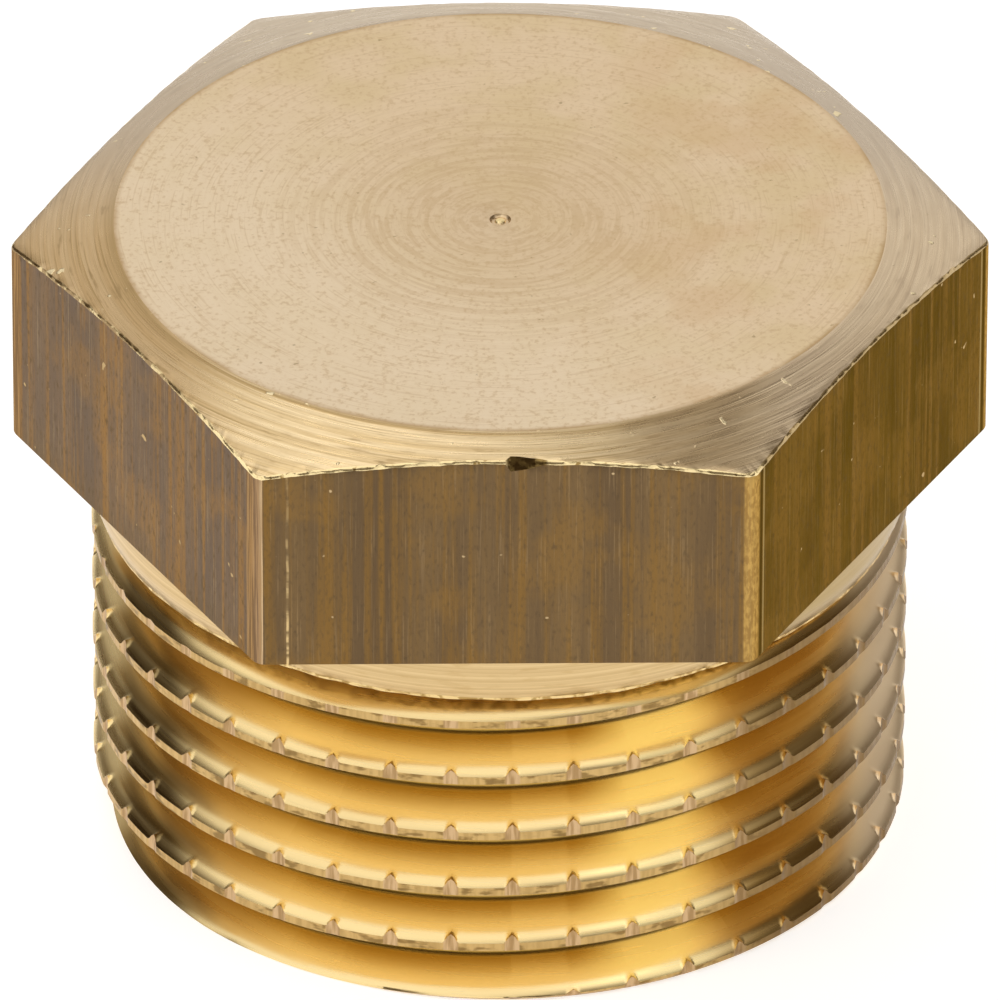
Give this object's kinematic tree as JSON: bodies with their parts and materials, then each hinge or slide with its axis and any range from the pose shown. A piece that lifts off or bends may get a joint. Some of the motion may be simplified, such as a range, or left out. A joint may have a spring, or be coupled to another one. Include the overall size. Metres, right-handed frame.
{
  "type": "threaded plug",
  "caption": "One-piece turned brass pipe plug: a hexagon head with a conical top chamfer, a short neck and a right-hand parallel pipe thread.",
  "frame": {"origin": "centre of the flat threaded end, on the surface that the plug stands on", "axes": "+Z along the thread axis, from the threaded end up to the head; a flat of the hexagon faces -Y and its corners lie on +X and -X"},
  "size_m": [0.0196, 0.017, 0.0133],
  "materials": {
    "brass": "turned, with oxidised drawn flats"
  },
  "bodies": {
    "root": {"plug_body": "brass"}
  },
  "joints": []
}
